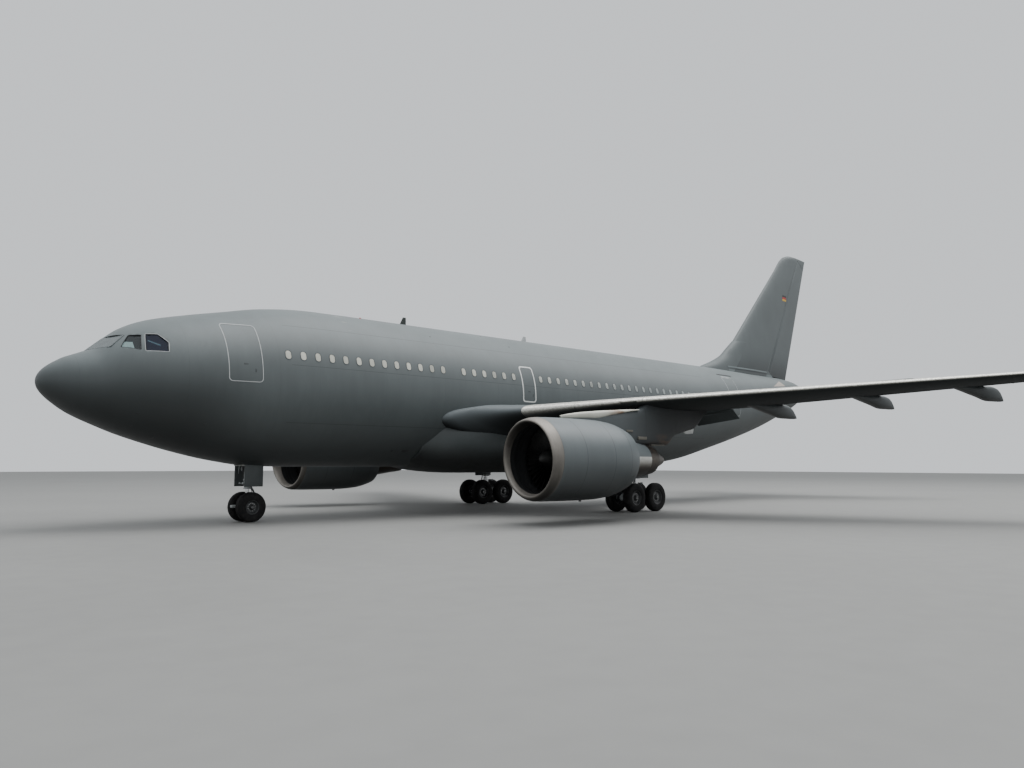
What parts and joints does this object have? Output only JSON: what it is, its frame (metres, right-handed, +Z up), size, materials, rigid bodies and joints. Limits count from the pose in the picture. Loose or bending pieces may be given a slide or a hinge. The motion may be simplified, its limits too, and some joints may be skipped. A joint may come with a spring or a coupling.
{
  "type": "military transport plane, 1:2 scale model",
  "caption": "Grey twin-engine wide-body transport plane on its gear, with turning wheels and fans, steered nose gear, moving control surfaces and opening cargo doors. 1:2 scale model.",
  "frame": {"origin": "on the ground, below the centre of the overall box", "axes": "+X aft from the nose towards the tail, +Y to the right wing, +Z up"},
  "size_m": [23.33, 21.95, 7.9],
  "materials": {
    "fuselage_paint": "matt blue-grey paint on aluminium skin, with seams and light streaks",
    "belly_paint": "matt darker grey paint, stained along the airflow",
    "composite_paint": "matt blue-grey paint on a composite skin",
    "wing_paint": "matt grey paint with worn edges",
    "nacelle_paint": "matt grey paint, slightly lighter",
    "bare_metal": "bare metal, brushed and weathered",
    "engine_metal": "heat-tinted metal",
    "fan_metal": "dark satin metal",
    "gear_metal": "pale grey paint and bright metal",
    "tyre": "black rubber, dusty",
    "glass": "dark blue-green glass",
    "interior": "dark matt trim"
  },
  "bodies": {
    "airframe": {"nose_section": "fuselage_paint", "forward_fuselage": "fuselage_paint", "centre_fuselage": "fuselage_paint", "aft_fuselage": "fuselage_paint", "tail_cone": "fuselage_paint", "door_front_right": "fuselage_paint", "door_front_left": "fuselage_paint", "exit_overwing_right": "fuselage_paint", "exit_overwing_left": "fuselage_paint", "door_rear_right": "fuselage_paint", "door_rear_left": "fuselage_paint", "belly_fairing": "belly_paint", "radome": "composite_paint", "fin": "composite_paint", "tailplane_right": "composite_paint", "tailplane_left": "composite_paint", "cockpit_glazing": "glass", "flight_deck": "interior", "wing_right": "wing_paint", "wing_left": "wing_paint", "flap_inboard_right": "wing_paint", "flap_inboard_left": "wing_paint", "flap_outboard_right": "wing_paint", "flap_outboard_left": "wing_paint", "main_gear_door_right": "wing_paint", "main_gear_door_left": "wing_paint", "nose_gear_door_right": "wing_paint", "nose_gear_door_left": "wing_paint", "slat_inboard_right": "bare_metal", "slat_inboard_left": "bare_metal", "slat_outboard_right": "bare_metal", "slat_outboard_left": "bare_metal", "inlet_lip_right": "bare_metal", "inlet_lip_left": "bare_metal", "nacelle_right": "nacelle_paint", "nacelle_left": "nacelle_paint", "pylon_right": "nacelle_paint", "pylon_left": "nacelle_paint", "engine_core_right": "engine_metal", "engine_core_left": "engine_metal", "nose_leg": "gear_metal", "bogie_right": "gear_metal", "bogie_left": "gear_metal", "main_leg_right": "gear_metal", "main_leg_left": "gear_metal"},
    "nose_strut": {"nose_steering": "gear_metal"},
    "nose_wheels": {"nose_wheels": "tyre"},
    "main_wheels_front_right": {"main_wheels_front_right": "tyre"},
    "main_wheels_front_left": {"main_wheels_front_left": "tyre"},
    "main_wheels_rear_right": {"main_wheels_rear_right": "tyre"},
    "main_wheels_rear_left": {"main_wheels_rear_left": "tyre"},
    "fan_right": {"fan_right": "fan_metal"},
    "fan_left": {"fan_left": "fan_metal"},
    "rudder": {"rudder": "composite_paint"},
    "elevator_right": {"elevator_right": "composite_paint"},
    "elevator_left": {"elevator_left": "composite_paint"},
    "aileron_right": {"aileron_right": "wing_paint"},
    "aileron_left": {"aileron_left": "wing_paint"},
    "cargo_door_front": {"cargo_door_front": "fuselage_paint"},
    "cargo_door_rear": {"cargo_door_rear": "fuselage_paint"}
  },
  "joints": [
    {"name": "nose_gear_steering", "type": "hinge", "parent": "airframe", "child": "nose_strut", "pos_m": [-8.325, 0, 0.5], "axis": [0, 0, 1], "range_deg": [-65, 65]},
    {"name": "nose_wheels_spin", "type": "hinge", "parent": "nose_strut", "child": "nose_wheels", "pos_m": [-8.325, 0, 0.255], "axis": [0, 1, 0], "continuous": true},
    {"name": "main_wheels_front_right_spin", "type": "hinge", "parent": "airframe", "child": "main_wheels_front_right", "pos_m": [-1.075, 2.4, 0.3], "axis": [0, 1, 0], "continuous": true},
    {"name": "main_wheels_front_left_spin", "type": "hinge", "parent": "airframe", "child": "main_wheels_front_left", "pos_m": [-1.075, -2.4, 0.3], "axis": [0, 1, 0], "continuous": true},
    {"name": "main_wheels_rear_right_spin", "type": "hinge", "parent": "airframe", "child": "main_wheels_rear_right", "pos_m": [-0.375, 2.4, 0.3], "axis": [0, 1, 0], "continuous": true},
    {"name": "main_wheels_rear_left_spin", "type": "hinge", "parent": "airframe", "child": "main_wheels_rear_left", "pos_m": [-0.375, -2.4, 0.3], "axis": [0, 1, 0], "continuous": true},
    {"name": "fan_right_spin", "type": "hinge", "parent": "airframe", "child": "fan_right", "pos_m": [-4.895, 3.97, 1.075], "axis": [1, 0, 0], "continuous": true},
    {"name": "fan_left_spin", "type": "hinge", "parent": "airframe", "child": "fan_left", "pos_m": [-4.895, -3.97, 1.075], "axis": [1, 0, 0], "continuous": true},
    {"name": "rudder_hinge", "type": "hinge", "parent": "airframe", "child": "rudder", "pos_m": [8.925, 0, 3.85], "axis": [0.4849, 0, 0.8746], "range_deg": [-30, 30]},
    {"name": "elevator_right_hinge", "type": "hinge", "parent": "airframe", "child": "elevator_right", "pos_m": [9.38766, 1.15, 3.12247], "axis": [0.356, 0.9287, 0.1043], "range_deg": [-30, 15]},
    {"name": "elevator_left_hinge", "type": "hinge", "parent": "airframe", "child": "elevator_left", "pos_m": [9.38766, -1.15, 3.12247], "axis": [-0.356, 0.9287, -0.1043], "range_deg": [-30, 15]},
    {"name": "aileron_right_hinge", "type": "hinge", "parent": "airframe", "child": "aileron_right", "pos_m": [-0.275, 3.425, 2.01049], "axis": [0.1441, 0.9779, 0.1512], "range_deg": [-53, 2]},
    {"name": "aileron_left_hinge", "type": "hinge", "parent": "airframe", "child": "aileron_left", "pos_m": [-0.275, -3.425, 2.01049], "axis": [-0.1441, 0.9779, -0.1512], "range_deg": [-53, 2]},
    {"name": "cargo_door_front_hinge", "type": "hinge", "parent": "airframe", "child": "cargo_door_front", "pos_m": [-7.319, 1.36303, 1.984], "axis": [1, -0.0005, 0], "range_deg": [0, 100]},
    {"name": "cargo_door_rear_hinge", "type": "hinge", "parent": "airframe", "child": "cargo_door_rear", "pos_m": [1.731, 1.36233, 1.984], "axis": [0.9993, -0.0363, 0], "range_deg": [0, 100]}
  ]
}
